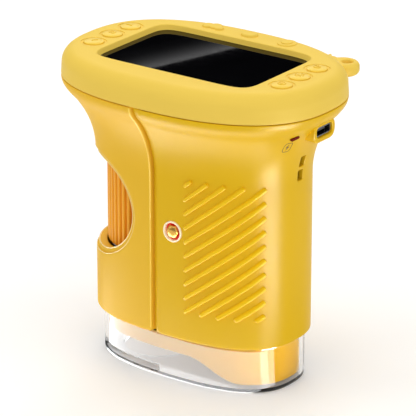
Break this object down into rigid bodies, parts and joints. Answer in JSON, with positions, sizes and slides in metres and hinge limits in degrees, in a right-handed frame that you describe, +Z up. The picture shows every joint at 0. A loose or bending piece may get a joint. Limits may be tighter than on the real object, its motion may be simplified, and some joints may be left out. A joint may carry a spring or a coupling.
{
  "type": "handheld digital microscope",
  "caption": "Hand-held digital microscope with a screen head, a focus wheel in a thumb scoop and a clear foot with a slot for a specimen slide.",
  "frame": {"origin": "on the table, under the middle of the grip and of the head", "axes": "+Z up, +X towards the end with the charging socket, +Y away from the side with the brass fitting"},
  "size_m": [0.0928, 0.0642, 0.1021],
  "materials": {
    "head_plastic": "satin moulded ABS",
    "front_plastic": "satin moulded ABS",
    "rear_plastic": "satin moulded ABS",
    "skirt_plastic": "satin moulded ABS",
    "button_plastic": "soft-touch silicone",
    "wheel_plastic": "ribbed rubberised grip",
    "clear_plastic": "polished clear acrylic",
    "screen_glass": "polished dark glass",
    "screen_black": "gloss",
    "black_rubber": "matt",
    "black_plastic": "matt",
    "white_plastic": "matt acetal",
    "frosted_plastic": "frosted diffuser",
    "pale_plastic": "gloss",
    "red_plastic": "gloss",
    "steel": "plated",
    "brass": "turned",
    "circuit_board": "solder mask",
    "flex_film": "polyimide film",
    "led_white": "gloss",
    "light_window": "smoked light pipe",
    "battery_wrap": "shrink wrap",
    "lens_glass": "polished"
  },
  "bodies": {
    "housing": {"top_bezel": "head_plastic", "lanyard_loop": "head_plastic", "top_ornaments": "head_plastic", "front_shell": "front_plastic", "rear_shell": "rear_plastic", "grip_ribs": "rear_plastic", "inner_skirt": "skirt_plastic", "screen_glass": "screen_glass", "screen_gasket": "black_rubber", "lcd_panel": "screen_black", "lcd_tray": "steel", "lcd_flex": "flex_film", "key_board_left": "circuit_board", "key_board_right": "circuit_board", "switches_left": "black_plastic", "switches_right": "black_plastic", "main_board": "circuit_board", "board_chips": "black_plastic", "board_screws": "steel", "usb_shell": "steel", "usb_tongue": "black_plastic", "charge_led": "led_white", "light_pipe": "light_window", "battery": "battery_wrap", "battery_cradle": "black_plastic", "cradle_screws": "steel", "camera_board": "circuit_board", "image_sensor": "screen_black", "camera_screws": "steel", "camera_flex": "flex_film", "guide_tube": "black_plastic", "lower_washer": "white_plastic", "retaining_ring": "black_plastic", "led_board": "circuit_board", "leds": "led_white", "led_diffuser": "frosted_plastic", "side_ring": "pale_plastic", "side_washer": "red_plastic", "side_post": "brass"},
    "foot": {"clear_foot": "clear_plastic"},
    "wheel": {"focus_wheel": "wheel_plastic", "cam_sleeve": "white_plastic"},
    "lens": {"lens_barrel": "black_plastic", "objective_lens": "lens_glass", "rear_lens": "lens_glass", "lens_nut": "black_plastic", "cam_pins": "steel"},
    "key_up": {"button_up": "button_plastic"},
    "key_ok": {"button_ok": "button_plastic"},
    "key_down": {"button_down": "button_plastic"},
    "key_power": {"button_power": "button_plastic"},
    "key_light": {"button_light": "button_plastic"},
    "key_capture": {"button_capture": "button_plastic"}
  },
  "joints": [
    {"name": "focus_turn", "type": "hinge", "parent": "housing", "child": "wheel", "pos_m": [-0.0173, 0, 0.0522], "axis": [0, 0, 1], "range_deg": [-120, 120]},
    {"name": "lens_lift", "type": "slide", "parent": "housing", "child": "lens", "axis": [0, 0, 1], "range_m": [-0.00305, 0.00305]},
    {"name": "foot_pull", "type": "slide", "parent": "housing", "child": "foot", "axis": [0, 0, -1], "range_m": [0, 0.03]},
    {"name": "press_up", "type": "slide", "parent": "housing", "child": "key_up", "axis": [0, 0, -1], "range_m": [0, 0.0007], "stiffness_N_per_m": 400, "springref_m": -0.0005},
    {"name": "press_ok", "type": "slide", "parent": "housing", "child": "key_ok", "axis": [0, 0, -1], "range_m": [0, 0.0007], "stiffness_N_per_m": 400, "springref_m": -0.0005},
    {"name": "press_down", "type": "slide", "parent": "housing", "child": "key_down", "axis": [0, 0, -1], "range_m": [0, 0.0007], "stiffness_N_per_m": 400, "springref_m": -0.0005},
    {"name": "press_power", "type": "slide", "parent": "housing", "child": "key_power", "axis": [0, 0, -1], "range_m": [0, 0.0007], "stiffness_N_per_m": 400, "springref_m": -0.0005},
    {"name": "press_light", "type": "slide", "parent": "housing", "child": "key_light", "axis": [0, 0, -1], "range_m": [0, 0.0007], "stiffness_N_per_m": 400, "springref_m": -0.0005},
    {"name": "press_capture", "type": "slide", "parent": "housing", "child": "key_capture", "axis": [0, 0, -1], "range_m": [0, 0.0007], "stiffness_N_per_m": 400, "springref_m": -0.0005}
  ],
  "couplings": [
    {"joint": "lens_lift", "follows": "focus_turn", "m_per_rad": 0.0014324}
  ]
}
